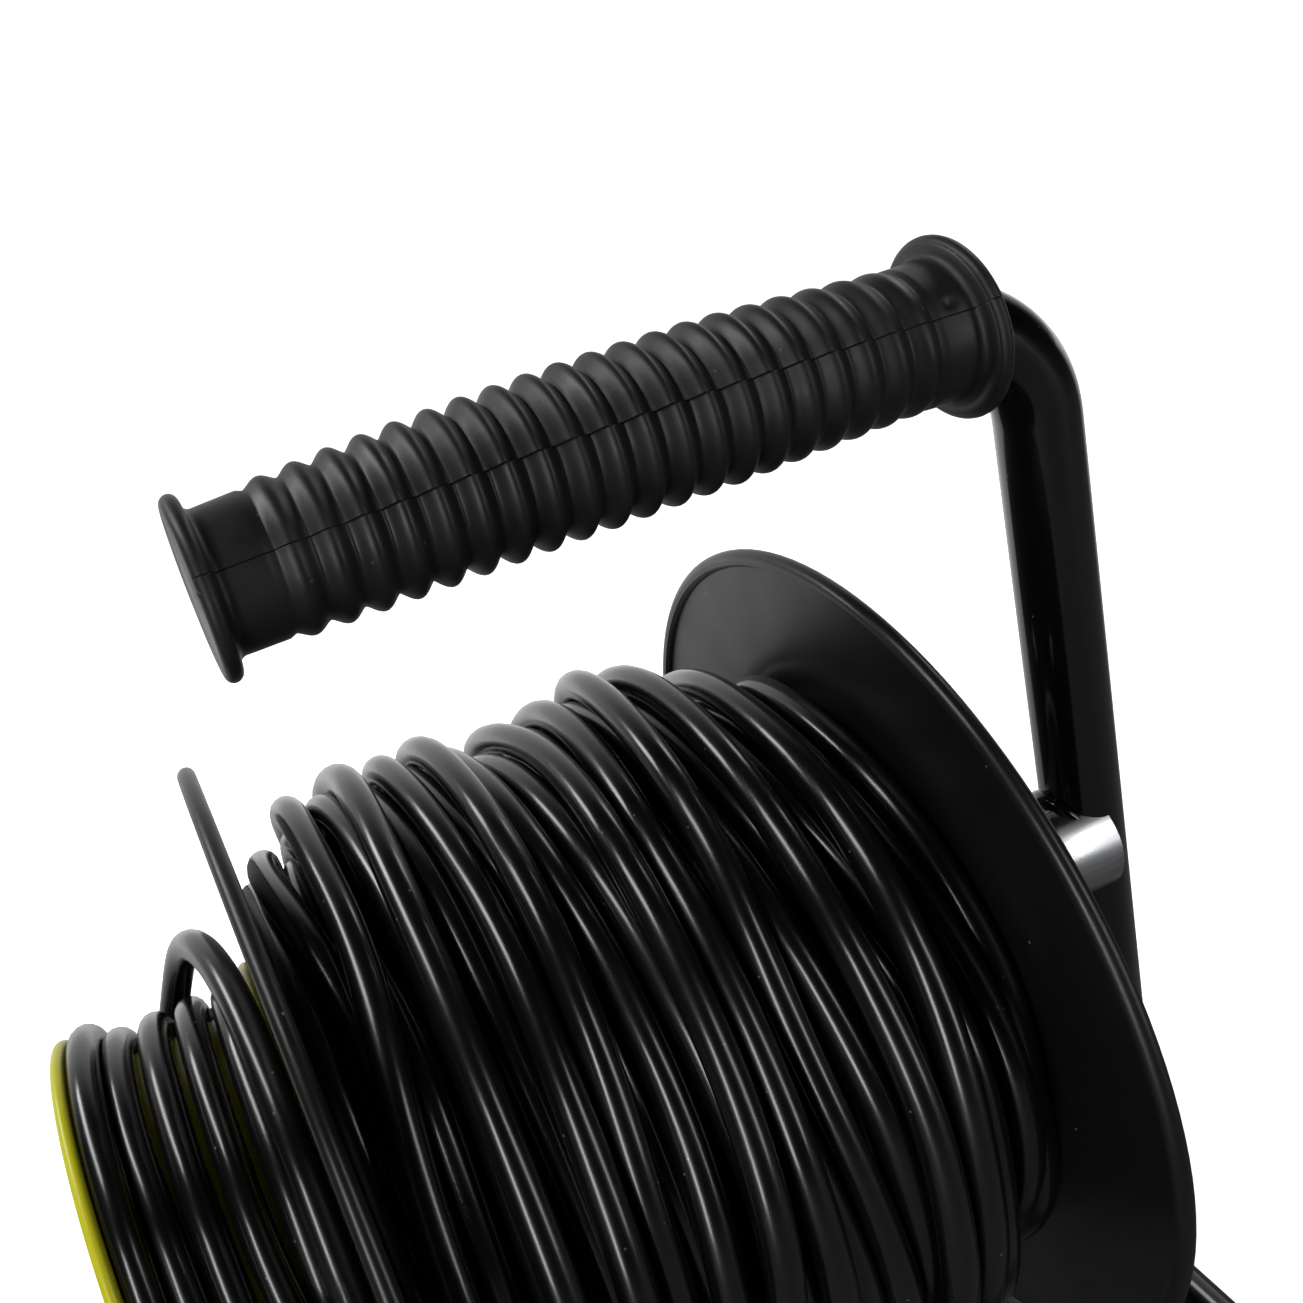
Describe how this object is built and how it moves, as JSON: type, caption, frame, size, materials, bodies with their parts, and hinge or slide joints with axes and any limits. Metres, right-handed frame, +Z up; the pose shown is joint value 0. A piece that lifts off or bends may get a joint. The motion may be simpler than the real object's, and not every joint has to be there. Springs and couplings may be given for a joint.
{
  "type": "extension cord reel",
  "caption": "Cord reel with a black flanged drum of cable, a small lime spool for the plug lead and a bent tube stand with a ribbed carrying grip.",
  "frame": {"origin": "On the floor, under the middle of the reel's width and of its length, base tubes down.", "axes": "+Z up; the drum turns about an axis along Y; the crank knob and the lime spool face -Y; the upright tube is at +Y."},
  "size_m": [0.204, 0.294, 0.3084],
  "materials": {
    "black_paint": "high gloss black enamel on bent steel tube",
    "grip_rubber": "satin black moulded rubber",
    "foot_rubber": "matt black rubber",
    "zinc_steel": "bright zinc plated steel",
    "nylon": "natural nylon",
    "black_plastic": "black moulded polypropylene, satin to gloss",
    "lime_plastic": "lime green moulded polypropylene",
    "dark_plastic": "dark grey moulded plastic",
    "red_plastic": "red moulded plastic",
    "brass": "plain brass",
    "nickel": "nickel plated brass",
    "cord_jacket": "glossy black PVC jacket",
    "connector_plastic": "black moulded PVC"
  },
  "bodies": {
    "frame": {"handle_tube": "black_paint", "upright_tube": "black_paint", "base_front_tube": "black_paint", "base_rear_tube": "black_paint", "base_feet": "foot_rubber", "rubber_grip": "grip_rubber", "axle": "zinc_steel", "thrust_washer": "nylon", "axle_washer": "zinc_steel", "axle_screw": "zinc_steel"},
    "drum": {"front_flange": "black_plastic", "rear_flange": "black_plastic", "drum_barrel": "black_plastic", "front_bush": "nylon", "rear_bush": "nylon", "tie_screws": "zinc_steel", "tie_nuts": "zinc_steel", "spool_inner": "lime_plastic", "spool_outer": "lime_plastic", "spool_screws": "zinc_steel", "hub_cap": "black_plastic", "crank_pin": "zinc_steel", "crank_nut": "zinc_steel", "thermal_cutout": "dark_plastic", "cutout_nut": "black_plastic", "terminal_box": "dark_plastic", "terminal_lid": "dark_plastic", "terminal_block": "nylon", "terminal_screws": "brass", "box_screws": "zinc_steel", "cord_clamps": "dark_plastic", "main_grommet": "foot_rubber", "lead_grommet": "foot_rubber", "main_coil": "cord_jacket", "lead_coil": "cord_jacket", "main_tail": "cord_jacket", "lead_tail": "cord_jacket", "socket_body": "connector_plastic", "socket_contacts": "brass", "socket_boot": "connector_plastic", "plug_body": "connector_plastic", "plug_pins": "nickel", "plug_boot": "connector_plastic", "park_clips": "black_plastic", "clip_screws": "zinc_steel"},
    "knob": {"crank_knob": "black_plastic", "knob_cap": "dark_plastic"},
    "button": {"reset_button": "red_plastic"}
  },
  "joints": [
    {"name": "drum_spin", "type": "hinge", "parent": "frame", "child": "drum", "pos_m": [0, 0, 0.154], "axis": [0, 1, 0], "continuous": true},
    {"name": "knob_spin", "type": "hinge", "parent": "drum", "child": "knob", "pos_m": [0, -0.122, 0.122], "axis": [0, 1, 0], "continuous": true},
    {"name": "button_press", "type": "slide", "parent": "drum", "child": "button", "axis": [0, 1, 0], "range_m": [0, 0.003], "stiffness_N_per_m": 300}
  ]
}
